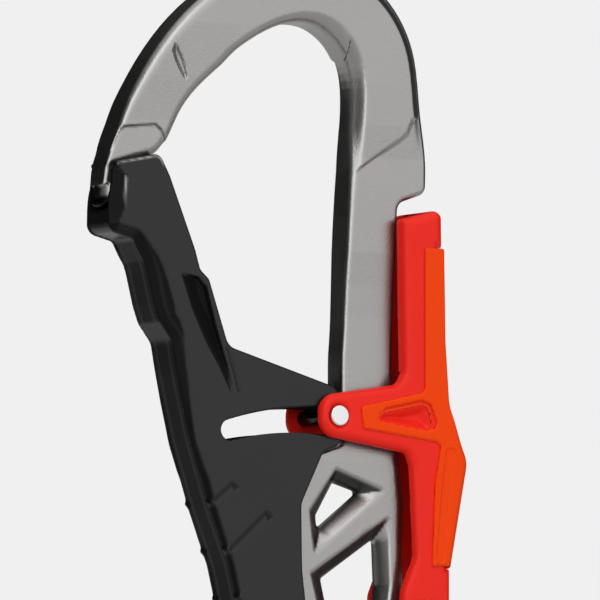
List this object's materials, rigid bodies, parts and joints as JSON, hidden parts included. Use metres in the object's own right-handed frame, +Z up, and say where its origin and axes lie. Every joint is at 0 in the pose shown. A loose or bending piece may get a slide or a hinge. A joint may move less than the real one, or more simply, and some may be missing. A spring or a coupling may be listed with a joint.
{
  "type": "palm-lock carabiner",
  "caption": "Forged hook connector with a hollow gate hinged at the foot, a palm lever that unlocks it, and a slotted eye for a lanyard.",
  "frame": {"origin": "centre of the lanyard eye, in the middle of the frame's thickness", "axes": "+Z up from the lanyard eye towards the hook, +X towards the palm lever and the spine, +Y through the thickness, away from the pictured face"},
  "size_m": [0.073, 0.0154, 0.158],
  "materials": {
    "forged_frame": "satin hot-forged aluminium, bead-blasted and anodised silver-grey",
    "black_gate": "satin black anodised aluminium",
    "red_lever": "semi-gloss red anodised aluminium",
    "orange_grip": "satin orange-red moulded plastic",
    "pin_steel": "bright turned stainless steel",
    "axle_steel": "riveted stainless steel",
    "bush": "drawn bronze, plain",
    "spring_steel": "drawn stainless spring wire"
  },
  "bodies": {
    "frame": {"frame": "forged_frame", "gate_bush": "bush", "lever_bush": "bush", "gate_spring_front": "spring_steel", "gate_spring_back": "spring_steel", "lever_spring_front": "spring_steel", "lever_spring_back": "spring_steel"},
    "gate": {"gate": "black_gate", "gate_axle": "axle_steel"},
    "lever": {"lever_body": "red_lever", "lever_grip": "orange_grip", "lock_pin": "pin_steel", "lever_axle": "axle_steel"}
  },
  "joints": [
    {"name": "gate_swing", "type": "hinge", "parent": "frame", "child": "gate", "pos_m": [-0.0145, 0, 0.0012], "axis": [0, 1, 0], "range_deg": [0, 15.5], "stiffness_Nm_per_rad": 0.5, "springref_deg": -11.46, "deforming": ["gate_spring_front", "gate_spring_back"]},
    {"name": "lever_squeeze", "type": "hinge", "parent": "frame", "child": "lever", "pos_m": [0.0111, 0, 0.0302], "axis": [0, 1, 0], "range_deg": [-3.6, 0], "stiffness_Nm_per_rad": 0.8, "springref_deg": 8.59, "deforming": ["lever_spring_front", "lever_spring_back"]}
  ],
  "couplings": [
    {"joint": "lever_squeeze", "follows": "gate_swing", "ratio": -0.2322}
  ]
}
